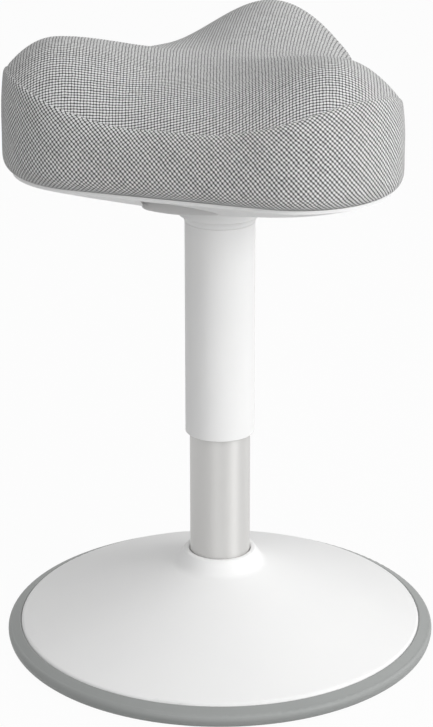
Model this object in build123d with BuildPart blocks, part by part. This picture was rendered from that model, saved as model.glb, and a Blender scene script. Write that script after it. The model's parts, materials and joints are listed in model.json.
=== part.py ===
from build123d import *
from math import atan2, cos, hypot, pi
import os

os.makedirs("parts", exist_ok=True)

# Fits shared by several parts
gap = 0.3
snug = 0.05
running = 0.06

# Base: a low cone in a rubber ring
disc_radius = 168.0
disc_edge_z = 15.5
cover_wall = 2.5
ring_width = 11.0
ring_radius = disc_radius + ring_width
ring_hole = disc_radius - 16.0
ring_floor = 4.4
lip_z = 75.2
collar_radius = 30.4
collar_foot = 35.3
foot_z = 66.4
cone_radius = 40.5
cone_z = 62.1
floor_gap = 2.2
ballast_radius = ring_hole - 2.0
ballast_bottom = 4.8
ballast_top = 14.5
post_reach = 110.0
post_radius = 6.0
cone_slope = (cone_z - disc_edge_z) / (disc_radius - cone_radius)
post_top = cone_z - (post_reach - cone_radius) * cone_slope - 2.9
screw_radius = 1.95
screw_hole = 2.6
socket_hole = 22.0
flange_radius = 62.0
flange_top = 20.5
socket_radius = 31.0
socket_top = 58.0
socket_bolt_reach = 48.0
socket_bolt_radius = 4.0

# Cover tube that slides down over the column
cover_radius = 28.55
cover_bore = 26.5
cover_bottom = 180.8
cover_top = 361.0
spigot_radius = 26.95
spigot_bore = 24.6
spigot_top = cover_top + 9.0

# Column: a gas lift with its outer tube standing in the base
tube_radius = 25.0
tube_bore = 23.2
tube_bottom = 16.0
tube_top = cover_top - 110.0
taper_top = 60.0
taper_drop = 0.7
plate_z = 20.0
race_z = 23.0
race_height = 2.0
race_hole = 8.0
race_radius = 17.0
ball_reach = 12.75
ball_radius = 1.95
ball_count = 12
rod_radius = 5.0
tail_radius = 4.0
neck_radius = 3.0
tail_z = 14.8
clip_z = 17.5
clip_height = 2.0
step_radius = 11.0
seal_groove = 10.6
bush_bottom = 186.0
piston_z = 216.0
cylinder_radius = 14.0
cylinder_bore = 12.4
cylinder_bottom = 150.0
cylinder_top = cover_top + 39.0
mount_taper_z = cover_top + 11.0
head_z = cylinder_top - 20.0
head_bore = 9.0
pin_radius = 3.4
pin_top = cylinder_top + 4.5

# Seat: a triangle with three round lobes, one pointing to the back
lobe_reach = 90.0
lobe_radius = 83.0
hub_z = cover_top + 13.0
seat_z = hub_z + 37.0
centre_height = 87.2
crest_height = 104.6
side_height = 52.6
crest_reach = 130.2
side_reach = 128.0
side_swell = 6.6
lobe_sharpness = 1.35
crest_fall = 196.0
crest_power = 1.85
crown_reach = lobe_reach + lobe_radius + 22.0
crown_cells = 13
block_height = 140.0
block_room = 10.0
fabric = 1.6
tuck_radius = 12.0
hem_width = 22.0
board_inset = 11.0
board_height = 10.0

# Shell under the seat
shell_inset = 7.5
shell_wall = 2.5
rim_z = seat_z - 3.0
bowl_inset = 30.0
bowl_z = seat_z - 11.0
hub_lobe = 7.0
hub_round = 27.0
shell_post_reach = 112.0
shell_post_radius = 7.0
screw_seat_z = seat_z - 12.0
screw_head = 4.5
hub_collar = 33.5
flare_top = cover_top + 6.6

# Seat mount and release lever
board_z = seat_z + fabric + gap
board_top = board_z + board_height
screw_end = board_top - 2.5
plate_height = 3.0
plate_width = 140.0
pan_radius = 40.0
pan_floor = cylinder_top - 8.0
socket_wall_radius = 19.0
socket_wall_z = cylinder_top - 26.0
bolt_offset = 52.0
bolt_radius = 4.0
tee_radius = 10.0
tee_barrel = 5.5
pivot_y = -26.0
pivot_z = cylinder_top + 6.4
pivot_radius = 2.5
arm_width = 10.0
arm_bottom = cylinder_top + 4.7
arm_top = arm_bottom + 3.5
bracket_width = 19.0
bracket_height = 17.0
foot_y = -31.0
leg_y = -46.0
leg_depth = 4.0
paddle_bottom = hub_z + 3.0
paddle_top = paddle_bottom + 8.5
paddle_swing = 3.6
paddle_screw_ys = (-34.5, -39.5)
hub_keep = 34.0
relief = 4.4
foot_depth = 2.5
slot_gap = 1.5
slot_z = hub_z - 19.0
slot_height = 48.0
window_turn = 19.4
window_left = -60.5
window_right = -3.0
window_front = -100.0
window_back = -28.0
window_bend_x = -32.0
window_bend_y = -54.0
window_corner = 5.0


def turned(points):
    with BuildSketch(Plane.XZ) as section:
        with BuildLine() as edge:
            Polyline(*points, close=True)
        make_face(edge.edges())
    revolve(section.sketch, axis=Axis.Z)


def disc(radius, z0, z1, mode=Mode.ADD):
    with BuildSketch(Plane.XY.offset(z0)) as section:
        Circle(radius)
    extrude(section.sketch, amount=z1 - z0, mode=mode)


def discs(circle, count, start, radius, z0, z1, mode=Mode.ADD):
    with BuildSketch(Plane.XY.offset(z0)) as section:
        with PolarLocations(circle, count, start_angle=start):
            Circle(radius)
    extrude(section.sketch, amount=z1 - z0, mode=mode)


def corners(offset, radius, z0, z1, mode=Mode.ADD):
    with BuildSketch(Plane.XY.offset(z0)) as section:
        with GridLocations(2 * offset, 2 * offset, 2, 2):
            Circle(radius)
    extrude(section.sketch, amount=z1 - z0, mode=mode)


def lobed(centre, radius):
    with PolarLocations(centre, 3, start_angle=90):
        Circle(radius)
    make_hull()


def lobed_block(inset, z0, z1, mode=Mode.ADD):
    with BuildSketch(Plane.XY.offset(z0)) as section:
        lobed(lobe_reach, lobe_radius - inset)
    extrude(section.sketch, amount=z1 - z0, mode=mode)


def crown(x, y):
    reach = hypot(x, y)
    lobe = ((1 + cos(3 * (atan2(y, x) - pi / 2))) / 2) ** lobe_sharpness
    t = reach / crest_reach
    ridge = crest_height - crest_fall * abs(t - 1) ** crest_power
    if t < 1:
        ridge = centre_height + (crest_height - centre_height) * (2 * t**2 - t**4)
    s = reach / side_reach
    side = centre_height + (side_height - centre_height) * s**2
    side = side + 4 * side_swell * (s**2 - s**4)
    if s > 1:
        side = side_height + 2 * (side_height - centre_height - 4 * side_swell) * (s - 1)
    return seat_z + lobe * ridge + (1 - lobe) * side


def above_crown(drop):
    steps = [crown_reach * i / crown_cells for i in range(-crown_cells, crown_cells + 1)]
    rows = [[Vector(x, y, crown(x, y) - drop) for y in steps] for x in steps]
    return Solid.extrude(Face.make_surface_from_array_of_points(rows), Vector(0, 0, 2 * block_height))


def tube_taper(z):
    return tube_radius - taper_drop * max(0.0, taper_top - z) / (taper_top - tube_bottom)


def mount_taper(z):
    return cylinder_radius - 0.7 * (z - mount_taper_z) / (cylinder_top - mount_taper_z)


# Base cover, a white cone with a raised collar around the column
with BuildPart() as base_cover:
    hole = tube_radius + 0.55
    cover_foot = ring_floor + gap
    with BuildSketch(Plane.XZ):
        with BuildLine():
            Line((hole, lip_z - 5.7), (hole, lip_z - 1.2))
            ThreePointArc((hole, lip_z - 1.2), (hole + 0.5, lip_z - 0.3), (hole + 1.6, lip_z))
            Line((hole + 1.6, lip_z), (collar_radius - 2.8, lip_z))
            ThreePointArc(
                (collar_radius - 2.8, lip_z),
                (collar_radius - 1.0, lip_z - 0.3),
                (collar_radius, lip_z - 1.1),
            )
            Line((collar_radius, lip_z - 1.1), (collar_foot, foot_z))
            ThreePointArc(
                (collar_foot, foot_z),
                (collar_foot + 2.1, foot_z - 2.7),
                (cone_radius, cone_z),
            )
            Line((cone_radius, cone_z), (disc_radius - 2.4, disc_edge_z + 1.0))
            ThreePointArc(
                (disc_radius - 2.4, disc_edge_z + 1.0),
                (disc_radius - 0.7, disc_edge_z - 0.2),
                (disc_radius, disc_edge_z - 2.0),
            )
            Line((disc_radius, disc_edge_z - 2.0), (disc_radius, cover_foot))
            Line((disc_radius, cover_foot), (disc_radius - cover_wall, cover_foot))
            Line((disc_radius - cover_wall, cover_foot), (disc_radius - cover_wall, disc_edge_z - 1.6))
            Line((disc_radius - cover_wall, disc_edge_z - 1.6), (cone_radius - 1, cone_z - 2.3))
            Line((cone_radius - 1, cone_z - 2.3), (cone_radius - 13, cone_z + 2.6))
            Line((cone_radius - 13, cone_z + 2.6), (hole, lip_z - 5.7))
        make_face()
    revolve(axis=Axis.Z)
    discs(post_reach, 4, 45, post_radius, ballast_top + gap, post_top)
    discs(post_reach, 4, 45, screw_radius + snug, ballast_top, post_top - 6, Mode.SUBTRACT)
base_cover.part.label = "base_cover"
export_step(base_cover.part, "parts/base_cover.step")

# Rubber ring around the edge, which is also the foot
with BuildPart() as rubber_ring:
    inner = disc_radius + 0.2
    with BuildSketch(Plane.XZ):
        with BuildLine():
            Line((ring_hole, 0), (ring_radius - 5.5, 0))
            ThreePointArc((ring_radius - 5.5, 0), (ring_radius - 2.1, 1.5), (ring_radius - 0.4, 5.0))
            ThreePointArc((ring_radius - 0.4, 5.0), (ring_radius, 7.4), (ring_radius - 0.7, 9.6))
            ThreePointArc((ring_radius - 0.7, 9.6), (ring_radius - 1.7, 10.8), (ring_radius - 3.2, 11.4))
            Line((ring_radius - 3.2, 11.4), (inner + 1.2, disc_edge_z - 0.9))
            ThreePointArc(
                (inner + 1.2, disc_edge_z - 0.9),
                (inner + 0.4, disc_edge_z - 1.0),
                (inner, disc_edge_z - 1.8),
            )
            Line((inner, disc_edge_z - 1.8), (inner, ring_floor))
            Line((inner, ring_floor), (ring_hole, ring_floor))
            Line((ring_hole, ring_floor), (ring_hole, 0))
        make_face()
    revolve(axis=Axis.Z)
rubber_ring.part.label = "rubber_ring"
export_step(rubber_ring.part, "parts/rubber_ring.step")

# Iron disc that keeps the stool upright
with BuildPart() as ballast_disc:
    disc(ballast_radius, ballast_bottom, ballast_top)
    disc(race_radius, ballast_bottom, ballast_top, Mode.SUBTRACT)
    discs(post_reach, 4, 45, screw_hole, ballast_bottom, ballast_top, Mode.SUBTRACT)
    discs(socket_bolt_reach, 4, 0, socket_bolt_radius + snug, ballast_bottom, ballast_top, Mode.SUBTRACT)
ballast_disc.part.label = "ballast_disc"
export_step(ballast_disc.part, "parts/ballast_disc.step")

# Sheet that closes the base from below
with BuildPart() as bottom_plate:
    disc(ballast_radius - 2, floor_gap, ballast_bottom - gap)
    discs(post_reach, 4, 45, screw_hole, floor_gap, ballast_bottom, Mode.SUBTRACT)
bottom_plate.part.label = "bottom_plate"
export_step(bottom_plate.part, "parts/bottom_plate.step")

# Four screws from below into the posts of the base cover
with BuildPart() as base_screws:
    discs(post_reach, 4, 45, screw_radius, floor_gap - 0.5, post_top - 8)
    discs(post_reach, 4, 45, 5, floor_gap - 1.6, floor_gap)
base_screws.part.label = "base_screws"
export_step(base_screws.part, "parts/base_screws.step")

# Steel socket that takes the tapered foot of the column
with BuildPart() as column_socket:
    turned([
        (socket_hole, ballast_top), (flange_radius, ballast_top), (flange_radius, flange_top),
        (socket_radius + 2, flange_top), (socket_radius, flange_top + 2.5), (socket_radius, socket_top),
        (tube_taper(socket_top) + snug, socket_top),
        (tube_taper(tube_bottom) + snug, tube_bottom - 0.1), (socket_hole, tube_bottom - 0.1),
    ])
    bolt_hole = socket_bolt_radius + gap
    discs(socket_bolt_reach, 4, 0, bolt_hole, ballast_top, flange_top + 1, Mode.SUBTRACT)
column_socket.part.label = "column_socket"
export_step(column_socket.part, "parts/column_socket.step")

# Four bolts from the socket into the iron disc
with BuildPart() as socket_bolts:
    discs(socket_bolt_reach, 4, 0, socket_bolt_radius, ballast_bottom + gap, flange_top + 1)
    with BuildSketch(Plane.XY.offset(flange_top)):
        with PolarLocations(socket_bolt_reach, 4):
            RegularPolygon(6.8, 6)
    extrude(amount=5)
socket_bolts.part.label = "socket_bolts"
export_step(socket_bolts.part, "parts/socket_bolts.step")

# Outer tube of the gas lift, the silver column
with BuildPart() as column_tube:
    turned([
        (tube_bore, tube_bottom), (tube_taper(tube_bottom), tube_bottom), (tube_radius, taper_top),
        (tube_radius, tube_top), (tube_bore, tube_top),
    ])
column_tube.part.label = "column_tube"
export_step(column_tube.part, "parts/column_tube.step")

# Plastic bush in the top of the tube, which guides the cylinder
with BuildPart() as column_bush:
    turned([
        (cylinder_radius + running, bush_bottom), (tube_bore - snug, bush_bottom),
        (tube_bore - snug, tube_top),
        (tube_radius, tube_top), (tube_radius, tube_top + 3), (cylinder_radius + running, tube_top + 3),
    ])
column_bush.part.label = "column_bush"
export_step(column_bush.part, "parts/column_bush.step")

# Plate that closes the foot of the tube and carries the bearing
with BuildPart() as column_end_plate:
    turned([
        (tail_radius + 0.08, plate_z), (tube_bore - snug, plate_z),
        (tube_bore - snug, race_z), (tail_radius + 0.08, race_z),
    ])
column_end_plate.part.label = "column_end_plate"
export_step(column_end_plate.part, "parts/column_end_plate.step")

# Thrust bearing: lower race, balls in a cage, upper race
ball_z = race_z + race_height + ball_radius + snug
upper_race_z = ball_z + ball_radius + snug

with BuildPart() as lower_race:
    turned([
        (race_hole, race_z), (race_radius, race_z),
        (race_radius, race_z + race_height), (race_hole, race_z + race_height),
    ])
lower_race.part.label = "lower_race"
export_step(lower_race.part, "parts/lower_race.step")

with BuildPart() as ball_cage:
    turned([
        (race_hole + 1.5, ball_z - 1), (race_radius - 1, ball_z - 1),
        (race_radius - 1, ball_z + 1), (race_hole + 1.5, ball_z + 1),
    ])
    discs(ball_reach, ball_count, 0, ball_radius + running, ball_z - 1, ball_z + 1, Mode.SUBTRACT)
ball_cage.part.label = "ball_cage"
export_step(ball_cage.part, "parts/ball_cage.step")

with BuildPart() as bearing_balls:
    with Locations((0, 0, ball_z)):
        with PolarLocations(ball_reach, ball_count):
            Sphere(ball_radius)
bearing_balls.part.label = "bearing_balls"
export_step(bearing_balls.part, "parts/bearing_balls.step")

with BuildPart() as upper_race:
    turned([
        (rod_radius + snug, upper_race_z), (race_radius, upper_race_z),
        (race_radius, upper_race_z + race_height), (rod_radius + snug, upper_race_z + race_height),
    ])
upper_race.part.label = "upper_race"
export_step(upper_race.part, "parts/upper_race.step")

# Piston rod, which stands on the bearing and turns with the seat
collar_z = upper_race_z + race_height
with BuildPart() as piston_rod:
    turned([
        (0, tail_z), (tail_radius, tail_z), (tail_radius, clip_z), (neck_radius, clip_z),
        (neck_radius, clip_z + clip_height), (tail_radius, clip_z + clip_height),
        (tail_radius, race_z + gap), (rod_radius, race_z + gap), (rod_radius, collar_z),
        (step_radius, collar_z), (step_radius, collar_z + 3), (rod_radius, collar_z + 3),
        (rod_radius, piston_z + 16), (0, piston_z + 16),
    ])
piston_rod.part.label = "piston_rod"
export_step(piston_rod.part, "parts/piston_rod.step")

# Clip that keeps the rod in the tube
with BuildPart() as rod_clip:
    turned([
        (neck_radius + snug, clip_z + 0.2), (neck_radius + 4.5, clip_z + 0.2),
        (neck_radius + 4.5, clip_z + clip_height - 0.2), (neck_radius + snug, clip_z + clip_height - 0.2),
    ])
    with BuildSketch(Plane.XY.offset(clip_z - 0.5)):
        with Locations((6, 0)):
            Rectangle(8, 5)
    extrude(amount=3, mode=Mode.SUBTRACT)
rod_clip.part.label = "rod_clip"
export_step(rod_clip.part, "parts/rod_clip.step")

# Rubber buffer under the cylinder at its lowest point
with BuildPart() as rod_buffer:
    turned([
        (rod_radius + snug, collar_z + 3), (step_radius, collar_z + 3),
        (step_radius - 1, collar_z + 12), (rod_radius + snug, collar_z + 12),
    ])
rod_buffer.part.label = "rod_buffer"
export_step(rod_buffer.part, "parts/rod_buffer.step")

# Piston with its seal
with BuildPart() as piston:
    head = cylinder_bore - running
    turned([
        (rod_radius + snug, piston_z), (head, piston_z), (head, piston_z + 5), (seal_groove, piston_z + 5),
        (seal_groove, piston_z + 9), (head, piston_z + 9), (head, piston_z + 14),
        (rod_radius + snug, piston_z + 14),
    ])
piston.part.label = "piston"
export_step(piston.part, "parts/piston.step")

with BuildPart() as piston_seal:
    turned([
        (seal_groove + snug, piston_z + 5.1), (cylinder_bore - 0.03, piston_z + 5.1),
        (cylinder_bore - 0.03, piston_z + 8.9), (seal_groove + snug, piston_z + 8.9),
    ])
piston_seal.part.label = "piston_seal"
export_step(piston_seal.part, "parts/piston_seal.step")

# Gas cylinder with a tapered head
with BuildPart() as gas_cylinder:
    turned([
        (cylinder_bore, cylinder_bottom), (cylinder_radius, cylinder_bottom),
        (cylinder_radius, mount_taper_z), (mount_taper(cylinder_top), cylinder_top),
        (head_bore, cylinder_top), (head_bore, head_z), (cylinder_bore, head_z),
    ])
gas_cylinder.part.label = "gas_cylinder"
export_step(gas_cylinder.part, "parts/gas_cylinder.step")

# Gland that seals the rod at the foot of the cylinder
with BuildPart() as cylinder_gland:
    turned([
        (rod_radius + running, cylinder_bottom + 0.5), (cylinder_bore - snug, cylinder_bottom + 0.5),
        (cylinder_bore - snug, cylinder_bottom + 18), (rod_radius + running, cylinder_bottom + 18),
    ])
cylinder_gland.part.label = "cylinder_gland"
export_step(cylinder_gland.part, "parts/cylinder_gland.step")

# Valve body in the head of the cylinder, and the pin that opens it
with BuildPart() as valve_body:
    turned([
        (pin_radius + running, head_z - 4), (cylinder_bore - snug, head_z - 4),
        (cylinder_bore - snug, head_z - 0.1), (head_bore - snug, head_z - 0.1),
        (head_bore - snug, cylinder_top), (pin_radius + running, cylinder_top),
    ])
valve_body.part.label = "valve_body"
export_step(valve_body.part, "parts/valve_body.step")

with BuildPart() as release_pin:
    disc(pin_radius, head_z + 4, pin_top)
    fillet(release_pin.edges().group_by(Axis.Z)[-1], 0.8)
release_pin.part.label = "release_pin"
export_step(release_pin.part, "parts/release_pin.step")

# White cover tube with a spigot into the seat shell
with BuildPart() as cover_tube:
    turned([
        (cover_bore, cover_bottom), (cover_radius - 0.3, cover_bottom),
        (cover_radius, cover_bottom + 0.3), (cover_radius, cover_top), (spigot_radius, cover_top),
        (spigot_radius, spigot_top), (spigot_bore, spigot_top), (spigot_bore, cover_top - 3),
        (cover_bore, cover_top - 6),
    ])
cover_tube.part.label = "cover_tube"
export_step(cover_tube.part, "parts/cover_tube.step")

# Slide ring in the foot of the cover tube
with BuildPart() as cover_slide_ring:
    turned([
        (tube_radius + running, cover_bottom + 1.5), (cover_bore - snug, cover_bottom + 1.5),
        (cover_bore - snug, cover_bottom + 14), (tube_radius + running, cover_bottom + 14),
    ])
cover_slide_ring.part.label = "cover_slide_ring"
export_step(cover_slide_ring.part, "parts/cover_slide_ring.step")

# Seat board of plywood
with BuildPart() as seat_board:
    lobed_block(board_inset, board_z, board_top)
    corners(bolt_offset, tee_radius + gap, board_top - 1.7, board_top, Mode.SUBTRACT)
    corners(bolt_offset, tee_barrel + 0.1, board_z, board_top, Mode.SUBTRACT)
    discs(shell_post_reach, 3, 90, screw_radius + snug, board_z, screw_end + 0.5, Mode.SUBTRACT)
seat_board.part.label = "seat_board"
export_step(seat_board.part, "parts/seat_board.step")

# Foam, cut to the crown of the seat
with BuildPart() as foam_cushion:
    lobed_block(fabric + gap, board_top, board_top + block_height)
    add(above_crown(fabric + gap), mode=Mode.SUBTRACT)
foam_cushion.part.label = "foam_cushion"
export_step(foam_cushion.part, "parts/foam_cushion.step")

# Fabric side band, tucked in below and turned under the board
with BuildPart() as side_band_core:
    lobed_block(fabric, seat_z + fabric, seat_z + block_height + block_room)
    fillet(side_band_core.edges().group_by(Axis.Z)[0], tuck_radius - fabric)

with BuildPart() as side_band:
    lobed_block(0, seat_z, seat_z + block_height)
    fillet(side_band.edges().group_by(Axis.Z)[0], tuck_radius)
    add(side_band_core.part, mode=Mode.SUBTRACT)
    lobed_block(hem_width, seat_z - block_room, seat_z + tuck_radius, Mode.SUBTRACT)
    add(above_crown(fabric), mode=Mode.SUBTRACT)
side_band.part.label = "side_band"
export_step(side_band.part, "parts/side_band.step")

# Fabric top panel, sewn to the side band along its edge
with BuildPart() as under_crown:
    lobed_block(-block_room, seat_z - block_room, seat_z + block_height + 2 * block_room)
    add(above_crown(fabric - gap), mode=Mode.SUBTRACT)

with BuildPart() as top_cover:
    lobed_block(0, seat_z + tuck_radius, seat_z + block_height)
    add(above_crown(0), mode=Mode.SUBTRACT)
    add(under_crown.part, mode=Mode.SUBTRACT)
top_cover.part.label = "top_cover"
export_step(top_cover.part, "parts/top_cover.step")

# Pressed mount plate with a pan for the lever
with BuildPart() as mount_plate:
    with BuildSketch(Plane.XY.offset(board_z - plate_height)):
        RectangleRounded(plate_width, plate_width, 14)
    extrude(amount=plate_height)
    disc(pan_radius, pan_floor, board_z - plate_height)
    disc(pan_radius - plate_height, pan_floor + plate_height, board_z, Mode.SUBTRACT)
    disc(socket_wall_radius + snug, pan_floor - 1, board_z, Mode.SUBTRACT)
    corners(bolt_offset, bolt_radius + 0.4, board_z - plate_height, board_z, Mode.SUBTRACT)
    with BuildSketch(Plane.XY.offset(pan_floor + plate_height)):
        with Locations((0, -44)):
            Rectangle(16, 18)
    extrude(amount=30, mode=Mode.SUBTRACT)
mount_plate.part.label = "mount_plate"
export_step(mount_plate.part, "parts/mount_plate.step")

# Tapered steel socket for the head of the cylinder
with BuildPart() as taper_socket:
    turned([
        (mount_taper(socket_wall_z) + snug, socket_wall_z), (socket_wall_radius, socket_wall_z),
        (socket_wall_radius, cylinder_top - 0.5),
        (mount_taper(cylinder_top - 0.5) + snug, cylinder_top - 0.5),
    ])
taper_socket.part.label = "taper_socket"
export_step(taper_socket.part, "parts/taper_socket.step")

# Bolts and tee nuts between mount plate and board
with BuildPart() as mount_bolts:
    with BuildSketch(Plane.XY.offset(board_z - plate_height - 5)):
        with GridLocations(2 * bolt_offset, 2 * bolt_offset, 2, 2):
            RegularPolygon(7, 6)
    extrude(amount=5)
    corners(bolt_offset, bolt_radius, board_z - plate_height - 1, board_top - 1)
mount_bolts.part.label = "mount_bolts"
export_step(mount_bolts.part, "parts/mount_bolts.step")

with BuildPart() as tee_nuts:
    corners(bolt_offset, tee_radius, board_top - 1.6, board_top - 0.1)
    corners(bolt_offset, tee_barrel, board_z + 1.5, board_top - 1)
    corners(bolt_offset, bolt_radius + snug, board_z, board_top, Mode.SUBTRACT)
tee_nuts.part.label = "tee_nuts"
export_step(tee_nuts.part, "parts/tee_nuts.step")

# Bracket and pin that carry the lever
with BuildPart() as lever_bracket:
    floor_z = pan_floor + plate_height
    with BuildSketch(Plane.XY.offset(floor_z)):
        with Locations((0, pivot_y)):
            Rectangle(bracket_width, 10)
    extrude(amount=bracket_height)
    with BuildSketch(Plane.XY.offset(floor_z + 2)):
        with Locations((0, pivot_y)):
            Rectangle(arm_width + 2.4, 12)
    extrude(amount=20, mode=Mode.SUBTRACT)
    with BuildSketch(Plane.YZ.offset(-15)):
        with Locations((pivot_y, pivot_z)):
            Circle(pivot_radius + snug)
    extrude(amount=30, mode=Mode.SUBTRACT)
lever_bracket.part.label = "lever_bracket"
export_step(lever_bracket.part, "parts/lever_bracket.step")

with BuildPart() as pivot_pin:
    with BuildSketch(Plane.YZ.offset(-11)):
        with Locations((pivot_y, pivot_z)):
            Circle(pivot_radius)
    extrude(amount=22)
pivot_pin.part.label = "pivot_pin"
export_step(pivot_pin.part, "parts/pivot_pin.step")

# Lever arm: a bar over the release pin, bent down to the paddle
with BuildPart() as lever_arm:
    with BuildSketch(Plane.YZ.offset(-arm_width / 2)):
        with BuildLine():
            Polyline(
                (4, arm_bottom), (4, arm_top), (leg_y, arm_top), (leg_y, paddle_top),
                (foot_y, paddle_top), (foot_y, paddle_top + foot_depth),
                (leg_y + leg_depth, paddle_top + foot_depth),
                (leg_y + leg_depth, arm_bottom), close=True,
            )
        make_face()
        with Locations((pivot_y, pivot_z)):
            Circle(5.2)
    extrude(amount=arm_width)
    with BuildSketch(Plane.YZ.offset(-arm_width / 2)):
        with Locations((pivot_y, pivot_z)):
            Circle(pivot_radius + running)
    extrude(amount=arm_width, mode=Mode.SUBTRACT)
    with BuildSketch(Plane.XY.offset(paddle_top)):
        with Locations(*[(0, y) for y in paddle_screw_ys]):
            Circle(1.6)
    extrude(amount=foot_depth, mode=Mode.SUBTRACT)
lever_arm.part.label = "lever_arm"
export_step(lever_arm.part, "parts/lever_arm.step")


def paddle_outline():
    with BuildLine() as edge:
        Line((-48, -27), (10, -30))
        Line((10, -30), (12.5, -40))
        ThreePointArc((12.5, -40), (-14, -48.6), (-42, -46))
        ThreePointArc((-42, -46), (-50.5, -41), (-54, -32))
        ThreePointArc((-54, -32), (-52, -28.5), (-48, -27))
    make_face(edge.edges())


# Lever paddle, a flat blade that comes out of a slot in the shell
with BuildPart() as lever_paddle:
    with BuildSketch(Plane.XY.offset(paddle_bottom)):
        paddle_outline()
    extrude(amount=paddle_top - paddle_bottom)
    fillet(lever_paddle.edges().group_by(Axis.Z)[0], 1.2)
    disc(hub_keep + 1, paddle_bottom, paddle_bottom + relief, Mode.SUBTRACT)
    with BuildSketch(Plane.XY.offset(paddle_bottom + relief + gap)):
        with Locations(*[(0, y) for y in paddle_screw_ys]):
            Circle(1.5 + snug)
    extrude(amount=10, mode=Mode.SUBTRACT)
lever_paddle.part.label = "lever_paddle"
export_step(lever_paddle.part, "parts/lever_paddle.step")

with BuildPart() as paddle_screws:
    with BuildSketch(Plane.XY.offset(paddle_bottom + relief + 2 * gap)):
        with Locations(*[(0, y) for y in paddle_screw_ys]):
            Circle(1.5)
    extrude(amount=paddle_top - paddle_bottom - relief + foot_depth)
    with BuildSketch(Plane.XY.offset(paddle_top + foot_depth)):
        with Locations(*[(0, y) for y in paddle_screw_ys]):
            Circle(2.3)
    extrude(amount=1.5)
paddle_screws.part.label = "paddle_screws"
export_step(paddle_screws.part, "parts/paddle_screws.step")

# White shell under the seat, a bowl that runs into the hub, open for fingers at the lever
with BuildPart() as lever_slot:
    with BuildSketch(Plane.XY.offset(slot_z)) as slot:
        paddle_outline()
        offset(amount=slot_gap)
    extrude(slot.sketch, amount=slot_height)
    extrude(Pos(0, -paddle_swing, 0) * slot.sketch, amount=slot_height)
    with BuildSketch(Plane.XY.offset(slot_z).rotated((0, 0, window_turn))) as window:
        with BuildLine():
            Polyline(
                (window_left, window_back), (window_left, window_front), (window_bend_x, window_front),
                (window_right, window_bend_y), (window_right, window_back), close=True,
            )
        make_face()
        fillet(window.vertices(), window_corner)
    extrude(amount=slot_height)
    disc(hub_keep, slot_z, slot_z + slot_height, Mode.SUBTRACT)

with BuildPart() as shell_hollow:
    with BuildSketch(Plane.XY.offset(hub_z + shell_wall)):
        lobed(hub_lobe, hub_round - shell_wall)
    with BuildSketch(Plane.XY.offset(bowl_z + shell_wall)):
        lobed(lobe_reach, lobe_radius - bowl_inset - 2)
    with BuildSketch(Plane.XY.offset(seat_z)):
        lobed(lobe_reach, lobe_radius - shell_inset - shell_wall)
    loft()
    discs(shell_post_reach, 3, 90, shell_post_radius, slot_z, seat_z + block_room, Mode.SUBTRACT)

with BuildPart() as seat_shell:
    with BuildSketch(Plane.XY.offset(hub_z)):
        lobed(hub_lobe, hub_round)
    with BuildSketch(Plane.XY.offset(bowl_z)):
        lobed(lobe_reach, lobe_radius - bowl_inset)
    with BuildSketch(Plane.XY.offset(rim_z)):
        lobed(lobe_reach, lobe_radius - shell_inset)
    loft()
    lobed_block(shell_inset, rim_z, seat_z - gap)
    add(shell_hollow.part, mode=Mode.SUBTRACT)
    with BuildSketch(Plane.XZ):
        with BuildLine():
            Line((spigot_radius + snug, cover_top + 0.2), (cover_radius, cover_top + 0.2))
            ThreePointArc(
                (cover_radius, cover_top + 0.2),
                (cover_radius + 1.35, cover_top + 3.4),
                (hub_collar, flare_top),
            )
            Line((hub_collar, flare_top), (hub_collar, hub_z + 3.5))
            Line((hub_collar, hub_z + 3.5), (spigot_radius + snug, hub_z + 3.5))
            Line((spigot_radius + snug, hub_z + 3.5), (spigot_radius + snug, cover_top + 0.2))
        make_face()
    revolve(axis=Axis.Z)
    disc(spigot_radius + snug, slot_z, slot_z + slot_height, Mode.SUBTRACT)
    add(lever_slot.part, mode=Mode.SUBTRACT)
    discs(shell_post_reach, 3, 90, screw_radius + 0.15, slot_z, seat_z + block_room, Mode.SUBTRACT)
    discs(shell_post_reach, 3, 90, screw_head + 0.5, slot_z, screw_seat_z, Mode.SUBTRACT)
seat_shell.part.label = "seat_shell"
export_step(seat_shell.part, "parts/seat_shell.step")

# Three screws from below through the posts of the shell into the board
with BuildPart() as shell_screws:
    discs(shell_post_reach, 3, 90, screw_radius, screw_seat_z - 1, screw_end)
    discs(shell_post_reach, 3, 90, screw_head, screw_seat_z - 3, screw_seat_z)
shell_screws.part.label = "shell_screws"
export_step(shell_screws.part, "parts/shell_screws.step")
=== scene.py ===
# %% [markdown]
# # A saddle stool, dressed for the camera
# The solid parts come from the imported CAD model. This lesson adds what a solid can't show: the woven
# seat cover with its seam, and the finish of each plastic, rubber and metal part.

# %% Load the frame
import bpy
import bmesh
import json
from math import atan2, cos, exp, hypot, pi, radians, sin, sqrt
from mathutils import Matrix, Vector


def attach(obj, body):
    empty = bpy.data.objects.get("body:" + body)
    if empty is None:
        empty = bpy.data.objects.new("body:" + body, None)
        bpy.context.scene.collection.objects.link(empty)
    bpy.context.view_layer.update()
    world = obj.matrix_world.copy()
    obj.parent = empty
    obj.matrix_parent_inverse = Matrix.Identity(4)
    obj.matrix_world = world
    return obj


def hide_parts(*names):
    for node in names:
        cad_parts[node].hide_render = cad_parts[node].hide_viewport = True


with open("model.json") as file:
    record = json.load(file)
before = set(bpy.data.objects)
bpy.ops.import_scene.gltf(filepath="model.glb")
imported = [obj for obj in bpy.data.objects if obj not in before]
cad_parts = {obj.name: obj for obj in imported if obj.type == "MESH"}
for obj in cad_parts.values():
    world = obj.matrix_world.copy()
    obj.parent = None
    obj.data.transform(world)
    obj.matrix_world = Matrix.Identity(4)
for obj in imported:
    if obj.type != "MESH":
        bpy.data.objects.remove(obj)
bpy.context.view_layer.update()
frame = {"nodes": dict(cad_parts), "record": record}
scene = bpy.context.scene
nodes_of = frame["nodes"]
print("CAD nodes:", len(nodes_of))

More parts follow.
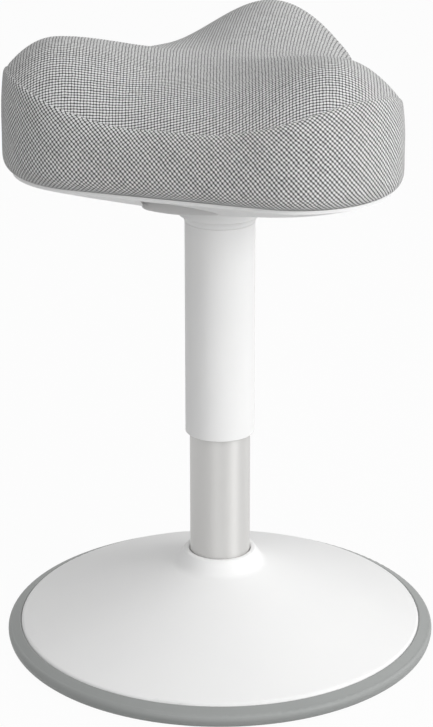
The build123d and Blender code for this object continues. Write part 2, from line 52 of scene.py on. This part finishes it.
# %% [markdown]
# ## The camera
# The photograph looks down a little at the stool from a distance, with a long lens. The camera stands to
# the right of the lever, and a small shift keeps the column upright in the frame.

# %% Camera
look_down = radians(18.26)
look_round = radians(19.4)

lens_data = bpy.data.cameras.new("camera")
lens_data.sensor_width = 36.0
lens_data.lens = 118.8
lens_data.shift_x = -0.0051
lens_data.shift_y = -0.1
camera = bpy.data.objects.new("camera", lens_data)
scene.collection.objects.link(camera)
camera.location = (0.614, -1.743, 0.911)
camera.rotation_euler = (pi / 2 - look_down, 0, look_round)
scene.camera = camera
print("camera at", tuple(round(c, 3) for c in camera.location))

# %% [markdown]
# ## The white room
# A product photo of a white object has soft light from all round. The floor and the world are white only
# to the camera and to reflections, so that white adds no light of its own. What lights the stool is a
# dimmer room and the lamps of the next step.

# %% World
room_light = 0.47
pure_white = (1, 1, 1, 1)

scene.view_settings.view_transform = "Standard"
world = bpy.data.worlds.new("studio")
scene.world = world
world.use_nodes = True
sky = world.node_tree
sky.nodes.clear()


def seen_directly(tree):
    """One where a camera, mirror or glass ray looks, zero where light is gathered."""
    path = tree.nodes.new("ShaderNodeLightPath")
    total = path.outputs["Is Camera Ray"]
    for ray in ("Is Glossy Ray", "Is Transmission Ray"):
        step = tree.nodes.new("ShaderNodeMath")
        step.operation = "MAXIMUM"
        tree.links.new(total, step.inputs[0])
        tree.links.new(path.outputs[ray], step.inputs[1])
        total = step.outputs[0]
    return total


pick = sky.nodes.new("ShaderNodeMixShader")
sky_out = sky.nodes.new("ShaderNodeOutputWorld")
sky.links.new(seen_directly(sky), pick.inputs[0])
for slot, strength in ((1, room_light), (2, 1.0)):
    backdrop = sky.nodes.new("ShaderNodeBackground")
    backdrop.inputs["Color"].default_value = pure_white
    backdrop.inputs["Strength"].default_value = strength
    sky.links.new(backdrop.outputs[0], pick.inputs[slot])
sky.links.new(pick.outputs[0], sky_out.inputs[0])
print("room light:", room_light)

# %% [markdown]
# ## Lamps
# A larger lamp stands low at the right and shapes the column and the lobes. Weaker ones in front, above
# and behind open the shadows. All of them are area lamps, because a large lamp gives soft edges.

# %% Lamps
aim_height = 0.3


def softbox(name, spot, size, power):
    """An area lamp that points at the middle of the stool."""
    data = bpy.data.lights.new(name, "AREA")
    data.size = size
    data.energy = power
    lamp = bpy.data.objects.new(name, data)
    scene.collection.objects.link(lamp)
    lamp.location = spot
    aim = Vector((0, 0, aim_height)) - Vector(spot)
    lamp.rotation_euler = aim.to_track_quat("-Z", "Y").to_euler()


softbox("key", (2.4, -0.6, 1.2), size=1.2, power=33)
softbox("front", (0.3, -2.5, 1.2), size=1.2, power=12)
softbox("top", (1.4, -0.9, 2.3), size=1.4, power=13)
softbox("back", (1.7, 1.9, 1.0), size=1.2, power=12)

# %% [markdown]
# ## The floor
# The floor is a plain sheet of grey paper as far as the light is concerned. To the camera it is nearly all
# white, and the small rest of the paper keeps the stool's soft shadow.

# %% Floor
floor_reach = 6.0
floor_white = 0.96

bm = bmesh.new()
bmesh.ops.create_grid(bm, x_segments=1, y_segments=1, size=floor_reach)
floor_mesh = bpy.data.meshes.new("floor")
bm.to_mesh(floor_mesh)
bm.free()
floor = bpy.data.objects.new("floor", floor_mesh)
scene.collection.objects.link(floor)
floor_paint = bpy.data.materials.new("floor_paint")
floor_paint.use_nodes = True
tree = floor_paint.node_tree
shade = tree.nodes["Principled BSDF"]
shade.inputs["Base Color"].default_value = (0.5, 0.5, 0.5, 1)
shade.inputs["Roughness"].default_value = 0.9
glow = tree.nodes.new("ShaderNodeEmission")
part = tree.nodes.new("ShaderNodeMath")
part.operation = "MULTIPLY"
part.inputs[1].default_value = floor_white
mix = tree.nodes.new("ShaderNodeMixShader")
tree.links.new(seen_directly(tree), part.inputs[0])
tree.links.new(part.outputs[0], mix.inputs[0])
tree.links.new(shade.outputs[0], mix.inputs[1])
tree.links.new(glow.outputs[0], mix.inputs[2])
tree.links.new(mix.outputs[0], tree.nodes["Material Output"].inputs[0])
floor_mesh.materials.append(floor_paint)
print("floor:", 2 * floor_reach, "m wide")

# %% [markdown]
# ## Shared surface effects
# Moulded plastic, rubber and coated steel all carry a fine grain that a mould or a spray gun leaves. One
# node group makes that grain at any scale, and each material takes it with its own numbers.

# %% Node helpers


def new_group(name, inputs, outputs):
    """A shader node group with float sockets, returned with its input and output nodes."""
    group = bpy.data.node_groups.new(name, "ShaderNodeTree")
    for label, value in inputs.items():
        socket = group.interface.new_socket(label, in_out="INPUT", socket_type="NodeSocketFloat")
        socket.default_value = value
    for label in outputs:
        group.interface.new_socket(label, in_out="OUTPUT", socket_type="NodeSocketFloat")
    start = group.nodes.new("NodeGroupInput")
    end = group.nodes.new("NodeGroupOutput")
    return group, start, end


def math(tree, operation, a, b=None):
    """One Math node; a and b are sockets or numbers."""
    node = tree.nodes.new("ShaderNodeMath")
    node.operation = operation
    for slot, value in enumerate((a, b)):
        if value is None:
            continue
        if isinstance(value, (int, float)):
            node.inputs[slot].default_value = value
        else:
            tree.links.new(value, node.inputs[slot])
    return node.outputs[0]


# %% Grain group
fine_grain = 900.0
broad_cloud = 14.0

grain, start, end = new_group(
    "grain", {"Scale": fine_grain, "Cloud Scale": broad_cloud, "Stretch": 1.0}, ["Grain", "Cloud"]
)
place = grain.nodes.new("ShaderNodeTexCoord")
squeeze = grain.nodes.new("ShaderNodeVectorMath")
squeeze.operation = "MULTIPLY"
combine = grain.nodes.new("ShaderNodeCombineXYZ")
combine.inputs[0].default_value = 1.0
combine.inputs[1].default_value = 1.0
grain.links.new(start.outputs["Stretch"], combine.inputs[2])
grain.links.new(place.outputs["Object"], squeeze.inputs[0])
grain.links.new(combine.outputs[0], squeeze.inputs[1])
for size, result, detail in (("Scale", "Grain", 3.0), ("Cloud Scale", "Cloud", 2.0)):
    noise = grain.nodes.new("ShaderNodeTexNoise")
    noise.inputs["Detail"].default_value = detail
    grain.links.new(squeeze.outputs[0], noise.inputs["Vector"])
    grain.links.new(start.outputs[size], noise.inputs["Scale"])
    grain.links.new(noise.outputs["Fac"], end.inputs[result])
print("group:", grain.name)

# %% [markdown]
# ## Finishes of the hard parts
# Each finish is one Principled shader. The cloud of the grain group drifts the colour a little, and the
# fine grain roughens the gloss and feeds a small bump, so no surface is one flat colour. The silver tube
# was turned on its axis, which leaves fine marks around it. Such marks stretch a highlight along the tube,
# and the shader's anisotropy, a quarter turn round, does the same.

# %% Finish recipe
grain_depth = 0.0004
quarter_turn = 0.25


def finish(name, dark, light, rough, scale=fine_grain, cloud=broad_cloud, stretch=1.0, bump=0.05,
           metal=0.0, shine=0.5, turned=0.0):
    """A grained finish between two close colours, with roughness between two values."""
    paint = bpy.data.materials.new(name)
    paint.use_nodes = True
    tree = paint.node_tree
    shade = tree.nodes["Principled BSDF"]
    shade.inputs["Metallic"].default_value = metal
    shade.inputs["Specular IOR Level"].default_value = shine
    shade.inputs["Anisotropic"].default_value = turned
    shade.inputs["Anisotropic Rotation"].default_value = quarter_turn
    use = tree.nodes.new("ShaderNodeGroup")
    use.node_tree = grain
    use.inputs["Scale"].default_value = scale
    use.inputs["Cloud Scale"].default_value = cloud
    use.inputs["Stretch"].default_value = stretch
    tint = tree.nodes.new("ShaderNodeMix")
    tint.data_type = "RGBA"
    tint.inputs["A"].default_value = (*dark, 1)
    tint.inputs["B"].default_value = (*light, 1)
    gloss = tree.nodes.new("ShaderNodeMapRange")
    gloss.inputs["To Min"].default_value = rough[0]
    gloss.inputs["To Max"].default_value = rough[1]
    relief = tree.nodes.new("ShaderNodeBump")
    relief.inputs["Strength"].default_value = bump
    relief.inputs["Distance"].default_value = grain_depth
    tree.links.new(use.outputs["Cloud"], tint.inputs["Factor"])
    tree.links.new(tint.outputs["Result"], shade.inputs["Base Color"])
    tree.links.new(use.outputs["Grain"], gloss.inputs["Value"])
    tree.links.new(gloss.outputs["Result"], shade.inputs["Roughness"])
    tree.links.new(use.outputs["Grain"], relief.inputs["Height"])
    tree.links.new(relief.outputs["Normal"], shade.inputs["Normal"])
    return paint


def grey(value):
    """A colour with no hue."""
    return (value, value, value)


print("finish recipe ready")

# %% Hard finishes
recipes = {
    "white_plastic": dict(dark=grey(0.82), light=(0.85, 0.85, 0.845), rough=(0.4, 0.5), shine=0.25),
    "lever_plastic": dict(dark=grey(0.72), light=grey(0.76), rough=(0.45, 0.55), shine=0.25),
    "guide_plastic": dict(dark=grey(0.015), light=grey(0.025), rough=(0.4, 0.55)),
    "ring_rubber": dict(dark=(0.27, 0.28, 0.275), light=(0.31, 0.32, 0.315), rough=(0.42, 0.55),
                        scale=700, bump=0.12),
    "black_rubber": dict(dark=grey(0.015), light=grey(0.025), rough=(0.6, 0.8), scale=700, bump=0.1),
    "silver_paint": dict(dark=(0.575, 0.57, 0.56), light=(0.615, 0.61, 0.6), rough=(0.46, 0.54),
                         scale=1500, stretch=0.05, metal=0.65, turned=0.68),
    "steel": dict(dark=grey(0.50), light=grey(0.58), rough=(0.25, 0.4), scale=1500, stretch=0.05, metal=1.0),
    "black_steel": dict(dark=grey(0.018), light=grey(0.028), rough=(0.35, 0.5)),
    "iron": dict(dark=grey(0.04), light=grey(0.07), rough=(0.55, 0.75), scale=500, bump=0.3),
    "plywood": dict(dark=(0.38, 0.24, 0.12), light=(0.55, 0.37, 0.2), rough=(0.6, 0.75),
                    scale=300, cloud=40, stretch=8.0, bump=0.15),
}
finishes = {name: finish(name, **recipe) for name, recipe in recipes.items()}
slots = {row["node"]: row["material_slot"] for row in frame["record"]["subparts"]}
for node, obj in nodes_of.items():
    if slots[node] in finishes:
        obj.data.materials.clear()
        obj.data.materials.append(finishes[slots[node]])
print("hard finishes:", len(finishes))

# %% [markdown]
# ## The weave
# The cover is a coarse plain weave: each crossing shows a flat pale nub of yarn, longer than it is wide,
# with a thin gap around it. The gap is painted near-black, as painted shade for the hollow between the
# yarns.
# Two sine waves make the nubs, and a smooth step flattens them. No two yarns are quite alike, so a slow
# noise lets them wander and white noise shifts the tone of each nub. The pattern reads the piece's own UV
# map, laid out in millimetres of cloth, so the threads follow the seat.

# %% Weave group: the nubs
yarn_pitch = 2.55
stray_scale = 0.15
stray_reach = 1.1
nub_powers = (0.95, 0.6)
# Below the gap level the nub is zero: there the cloth takes the painted gap shade and its lowest bump.
gap_level, yarn_level = 0.1, 0.66

weave, start, end = new_group("weave", {"Pitch": yarn_pitch}, ["Nub", "Tone"])
cloth = weave.nodes.new("ShaderNodeUVMap")
cloth.uv_map = "cloth"
stray = weave.nodes.new("ShaderNodeTexNoise")
stray.noise_dimensions = "2D"
stray.inputs["Scale"].default_value = stray_scale
weave.links.new(cloth.outputs[0], stray.inputs["Vector"])
wander = weave.nodes.new("ShaderNodeVectorMath")
wander.operation = "MULTIPLY_ADD"
wander.inputs[1].default_value = (stray_reach, stray_reach, 0.0)
weave.links.new(stray.outputs["Color"], wander.inputs[0])
weave.links.new(cloth.outputs[0], wander.inputs[2])
split = weave.nodes.new("ShaderNodeSeparateXYZ")
weave.links.new(wander.outputs[0], split.inputs[0])
threads = [math(weave, "DIVIDE", split.outputs[i], start.outputs["Pitch"]) for i in (0, 1)]
waves = []
for thread, power in zip(threads, nub_powers):
    wave = math(weave, "ABSOLUTE", math(weave, "SINE", math(weave, "MULTIPLY", thread, pi)))
    waves.append(math(weave, "POWER", wave, power))
flat = weave.nodes.new("ShaderNodeMapRange")
flat.interpolation_type = "SMOOTHSTEP"
flat.inputs["From Min"].default_value = gap_level
flat.inputs["From Max"].default_value = yarn_level
weave.links.new(math(weave, "MULTIPLY", *waves), flat.inputs["Value"])
weave.links.new(flat.outputs["Result"], end.inputs["Nub"])
print("weave pitch", yarn_pitch, "mm")

# %% Weave group: the tone of each nub
nub_share, yarn_share = 0.65, 0.35

cell = weave.nodes.new("ShaderNodeCombineXYZ")
yarns = [math(weave, "FLOOR", thread) for thread in threads]
weave.links.new(yarns[0], cell.inputs[0])
weave.links.new(yarns[1], cell.inputs[1])
each_nub = weave.nodes.new("ShaderNodeTexWhiteNoise")
each_nub.noise_dimensions = "2D"
weave.links.new(cell.outputs[0], each_nub.inputs["Vector"])
each_yarn = weave.nodes.new("ShaderNodeTexWhiteNoise")
each_yarn.noise_dimensions = "1D"
weave.links.new(yarns[0], each_yarn.inputs["W"])
uneven = math(
    weave, "ADD",
    math(weave, "MULTIPLY", each_nub.outputs["Value"], nub_share),
    math(weave, "MULTIPLY", each_yarn.outputs["Value"], yarn_share),
)
weave.links.new(uneven, end.inputs["Tone"])
print("group:", weave.name)

# %% Seat fabric
least_tone, tone_spread = 0.85, 0.3
yarn_depth = 0.0006


def woven(name, gap_shade_tone, yarn_tone):
    """Grey cloth whose yarn stands proud of its gaps, which are painted dark as painted shade."""
    paint = bpy.data.materials.new(name)
    paint.use_nodes = True
    tree = paint.node_tree
    shade = tree.nodes["Principled BSDF"]
    shade.inputs["Roughness"].default_value = 0.9
    shade.inputs["Specular IOR Level"].default_value = 0.15
    shade.inputs["Sheen Weight"].default_value = 0.3
    shade.inputs["Sheen Roughness"].default_value = 0.5
    use = tree.nodes.new("ShaderNodeGroup")
    use.node_tree = weave
    use.inputs["Pitch"].default_value = yarn_pitch
    tone = math(tree, "ADD", math(tree, "MULTIPLY", use.outputs["Tone"], tone_spread), least_tone)
    tint = tree.nodes.new("ShaderNodeMix")
    tint.data_type = "RGBA"
    # The gap colour is painted shade, the dark of the hollows between the yarns.
    tint.inputs["A"].default_value = (*grey(gap_shade_tone), 1)
    tint.inputs["B"].default_value = (*grey(yarn_tone), 1)
    relief = tree.nodes.new("ShaderNodeBump")
    relief.inputs["Strength"].default_value = 0.6
    relief.inputs["Distance"].default_value = yarn_depth
    tree.links.new(math(tree, "MULTIPLY", use.outputs["Nub"], tone), tint.inputs["Factor"])
    tree.links.new(tint.outputs["Result"], shade.inputs["Base Color"])
    tree.links.new(use.outputs["Nub"], relief.inputs["Height"])
    tree.links.new(relief.outputs["Normal"], shade.inputs["Normal"])
    return paint


# The near-black gap colour is painted shade for the hollows between the yarns.
seat_fabric = woven("seat_fabric", gap_shade_tone=0.01, yarn_tone=0.72)
print("fabric:", seat_fabric.name)

# %% [markdown]
# ## The seat's form
# Seen from above, the seat is three round lobes joined by straight sides. From the middle, the crown rises
# along a ridge to each lobe and falls away again at its end. Between two lobes it runs down to the side,
# with a slight swell for the thigh. A cosine of three times the angle blends ridge and side.

# %% Seat outline and crown
lobe_centre, lobe_radius = 0.090, 0.083
seat_z = 0.411
middle_rise = 0.0872
lobe_blend = 1.35
ridge_reach, ridge_rise, ridge_fall, ridge_power = 0.1302, 0.0174, 0.196, 1.85
side_reach, side_drop, side_swell = 0.128, 0.0346, 0.0264


def outline(turn):
    """How far the seat reaches from its middle in one direction."""
    off = (turn - pi / 2 + pi / 3) % (2 * pi / 3) - pi / 3
    tangent = atan2(lobe_radius * sin(pi / 3), lobe_centre + lobe_radius * cos(pi / 3))
    if abs(off) < tangent:
        return lobe_centre * cos(off) + sqrt(lobe_radius**2 - (lobe_centre * sin(off)) ** 2)
    return (lobe_centre / 2 + lobe_radius) / cos(pi / 3 - abs(off))


def crown(x, y):
    """Height of the foam's crown over the floor."""
    reach = hypot(x, y)
    lobe = ((1 + cos(3 * (atan2(y, x) - pi / 2))) / 2) ** lobe_blend
    t, s = reach / ridge_reach, reach / side_reach
    if t < 1:
        ridge = middle_rise + ridge_rise * (2 * t**2 - t**4)
    else:
        ridge = middle_rise + ridge_rise - ridge_fall * (t - 1) ** ridge_power
    if s < 1:
        side = middle_rise - side_drop * s**2 + side_swell * (s**2 - s**4)
    else:
        side = middle_rise - side_drop - 2 * (side_drop + side_swell) * (s - 1)
    return seat_z + lobe * ridge + (1 - lobe) * side


print("seat reaches", round(outline(pi / 2), 4), "to a lobe and", round(outline(-pi / 2), 4), "to a side")

# %% [markdown]
# ## The seat cover
# The cover is sewn from a top panel and a side band over shaped foam. It starts as one ring of points that
# is drawn out to the seat's three-lobed outline, and the ring is extruded again and again: in under the
# board, up the side, in at the seam, and over the crown to the middle. Towards the middle, every second
# point is welded to its neighbour, so the faces stay about as wide as they are long.

# %% Seat cover rings
columns = 192
tuck, tuck_in, tuck_rows = 0.012, 0.0085, 5
side_rows = 14
bulge_from = 0.45
edge_in = 0.0022
edge_probe = 0.002
seam_in = edge_in + 0.0030
seam_drop, seam_depth = 0.0006, 0.0009
band_end = 0.0045
roll_in, roll_down = (0.0005, 0.0012, 0.0022), (0.0026, 0.0011, 0.0003)
lip_in = (0.0040, 0.0065)
top_in = edge_in + lip_in[-1]
top_rows = 32
roll_off = 0.012

rings = [("hem", 0.022), ("hem", 0.013), ("hem", tuck_in)]
rings += [("tuck", (i + 1) / tuck_rows) for i in range(tuck_rows)]
rings += [("side", (i + 1) / side_rows) for i in range(side_rows)]
rings += [("roll", i) for i in range(len(roll_in))]
rings += [("seam", 0.0)]
rings += [("lip", i) for i in range(len(lip_in))]
rings += [("top", 1 - (i + 1) / top_rows) for i in range(top_rows - 1)]


def crown_at(reach, turn):
    """Height of the crown at a distance from the middle in one direction."""
    return crown(reach * cos(turn), reach * sin(turn))


def ring_point(ring, turn):
    """Where the cover runs in one direction, ring by ring from the hem to the middle."""
    kind, value = ring
    reach = outline(turn)
    seam_z = crown_at(reach - edge_probe, turn) - seam_drop
    z = None
    if kind == "hem":
        inset, z = value, seat_z
    elif kind == "tuck":
        inset = tuck_in * (1 - sin(value * pi / 2))
        z = seat_z + tuck * (1 - cos(value * pi / 2))
    elif kind == "side":
        inset = edge_in * (max(0.0, value - bulge_from) / (1 - bulge_from)) ** 2
        z = seat_z + tuck + value * (seam_z - band_end - seat_z - tuck)
    elif kind == "roll":
        inset, z = edge_in + roll_in[value], seam_z - roll_down[value]
    elif kind == "seam":
        inset, z = seam_in, seam_z - seam_depth
    elif kind == "lip":
        inset = edge_in + lip_in[value]
    else:
        inset = reach - value * (reach - top_in)
    if z is None:
        droop = crown_at(reach - seam_in, turn) - seam_z
        z = crown_at(reach - inset, turn) - droop * exp((seam_in - inset) / roll_off)
    return Vector(((reach - inset) * cos(turn), (reach - inset) * sin(turn), z))


def first_row(kind, below=2.0):
    """The first ring of a kind whose value is under a limit."""
    return next(i for i, (name, value) in enumerate(rings) if name == kind and value < below)


side_row, seam_row = first_row("side"), first_row("seam")
print("rings:", len(rings), "with the seam at", seam_row)

# %% Seat cover mesh
bm = bmesh.new()
bmesh.ops.create_circle(bm, segments=columns, radius=1.0)
row_of = bm.verts.layers.int.new("row")
column_of = bm.verts.layers.int.new("column")
loop = bm.edges[:]
for row, ring in enumerate(rings):
    if row:
        made = bmesh.ops.extrude_edge_only(bm, edges=loop)["geom"]
        loop = [e for e in made if isinstance(e, bmesh.types.BMEdge)]
    for vert in {v for e in loop for v in e.verts}:
        column = round(atan2(vert.co.y, vert.co.x) / (2 * pi) * columns) % columns
        vert[row_of], vert[column_of] = row, column
        vert.co = ring_point(ring, 2 * pi * column / columns)
for within, step in ((0.5, 2), (0.25, 4), (0.125, 8)):
    start_row = first_row("top", within)
    spots = {(v[row_of], v[column_of]): v for v in bm.verts}
    weld = {}
    for (row, column), vert in spots.items():
        if row >= start_row and column % step:
            weld[vert] = spots[(row, column - column % step)]
    bmesh.ops.weld_verts(bm, targetmap=weld)
last_row = len(rings) - 1
middle = [e for e in bm.edges if e.is_boundary and e.verts[0][row_of] == last_row]
bmesh.ops.holes_fill(bm, edges=middle)
bmesh.ops.recalc_face_normals(bm, faces=bm.faces[:])
print("seat cover:", len(bm.verts), "points in", len(rings), "rings")

# %% [markdown]
# ## The cloth's own map
# Real cloth is cut flat. The top panel keeps its threads straight as seen from above, turned so that they
# run away from the sitter, and a thread is longer where it climbs the crown. The band was cut on the bias,
# at 45 degrees, and its map runs along the edge and up the side. All lengths here are in millimetres, and a
# whole number of threads goes round the band, so its ends meet.

# %% Cloth map helpers
mm = 1000
thread_turn = radians(19.4)
thread_steps = 12
climb_share, droop_share = 0.9, 0.8
drift_rate, drift_from = 0.08, 30


def edge_point(column):
    """A point of the seat's outline."""
    turn = 2 * pi * column / columns
    return Vector((outline(turn) * cos(turn), outline(turn) * sin(turn)))


def thread_run(across, away, z):
    """Length of a thread over the crown, from the seat's middle line to a point."""
    def height(at):
        x = across * cos(thread_turn) - at * sin(thread_turn)
        y = across * sin(thread_turn) + at * cos(thread_turn)
        return mm * crown(x / mm, y / mm)

    heights = [height(away * i / thread_steps) for i in range(thread_steps + 1)]
    step = abs(away) / thread_steps
    run = sum(max(step, climb_share * hypot(step, b - a)) for a, b in zip(heights, heights[1:]))
    run += droop_share * max(0.0, heights[-1] - z)
    return run if away > 0 else -run


along = [0.0]
for column in range(columns):
    along.append(along[-1] + (edge_point(column + 1) - edge_point(column)).length)
print("band is", round(along[-1] * mm), "mm round")

# %% Cloth map
away_scale, across_scale, band_scale = 1.16, 1.045, 0.91
bias_pitch = yarn_pitch * sqrt(2)
repeats = 2 * round(along[-1] * mm / (2 * bias_pitch))
fit = repeats * bias_pitch / along[-1]

uv = bm.loops.layers.uv.new("cloth")
for face in bm.faces:
    face.smooth = True
    on_top = min(v[row_of] for v in face.verts) >= seam_row
    wraps = {0, columns - 1} <= {v[column_of] for v in face.verts}
    for corner in face.loops:
        x, y, z = corner.vert.co * mm
        if on_top:
            across = x * cos(thread_turn) + y * sin(thread_turn)
            away = y * cos(thread_turn) - x * sin(thread_turn)
            drift = drift_rate * (hypot(away - drift_from, drift_from) + away - drift_from)
            corner[uv].uv = (away_scale * thread_run(across, away, z), across_scale * (across - drift))
        else:
            column = corner.vert[column_of]
            u = along[columns if wraps and column == 0 else column] * fit
            inset = mm * outline(2 * pi * column / columns) - hypot(x, y)
            v = band_scale * (z - inset if corner.vert[row_of] < side_row else z + inset)
            corner[uv].uv = ((u + v) / sqrt(2), (u - v) / sqrt(2))
print("threads round the band:", repeats)

# %% Seat cushion object
seat_mesh = bpy.data.meshes.new("seat_cushion")
bm.to_mesh(seat_mesh)
bm.free()
seat_mesh.materials.append(seat_fabric)
seat_cushion = bpy.data.objects.new("seat_cushion", seat_mesh)
scene.collection.objects.link(seat_cushion)
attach(seat_cushion, "seat")
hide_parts("foam_cushion", "side_band", "top_cover")
print("seat cushion faces:", len(seat_mesh.polygons))

# %% [markdown]
# ## Fill the cover
# Foam pushes the cover out from inside. The Cloth modifier does the same with a little pressure, while the
# hem, the seam and the middle of the top are held. Each point may move only a little, because cloth that
# is pulled over foam is taut. The result is written back to the mesh, so nothing is left to simulate.

# %% Held points
free_top_rows = 16

rows = [0] * len(seat_mesh.vertices)
seat_mesh.attributes["row"].data.foreach_get("value", rows)
held = [
    i for i, row in enumerate(rows)
    if row < side_row or row in (seam_row, seam_row + 1) or row > seam_row + free_top_rows
]
print("held points:", len(held))

# %% Cloth
most = 0.0016
pressure = 4.0
moments = 20

sewn = seat_cushion.vertex_groups.new(name="sewn")
sewn.add(held, 1.0, "REPLACE")
cloth_step = seat_cushion.modifiers.new("cloth", "CLOTH")
cloth_step.settings.vertex_group_mass = "sewn"
cloth_step.settings.use_pressure = True
cloth_step.settings.uniform_pressure_force = pressure
cloth_step.settings.effector_weights.gravity = 0.0
cloth_step.point_cache.frame_end = moments
for moment in range(1, moments + 1):
    scene.frame_set(moment)
puffed = seat_cushion.evaluated_get(bpy.context.evaluated_depsgraph_get())
ends = [v.co.copy() for v in puffed.data.vertices]
seat_cushion.modifiers.remove(cloth_step)
seat_cushion.vertex_groups.remove(sewn)
scene.frame_set(1)
moved = 0.0
for vert, end_at in zip(seat_mesh.vertices, ends):
    step = end_at - vert.co
    if step.length > most:
        step *= most / step.length
    moved = max(moved, step.length)
    vert.co += step
print("cloth moved up to", round(moved * mm, 2), "mm")

# %% Smooth the cover
for name in ("row", "column"):
    seat_mesh.attributes.remove(seat_mesh.attributes[name])
smooth = seat_cushion.modifiers.new("smooth", "SUBSURF")
smooth.levels = 1
smooth.render_levels = 1
print("smoothing levels:", smooth.levels)
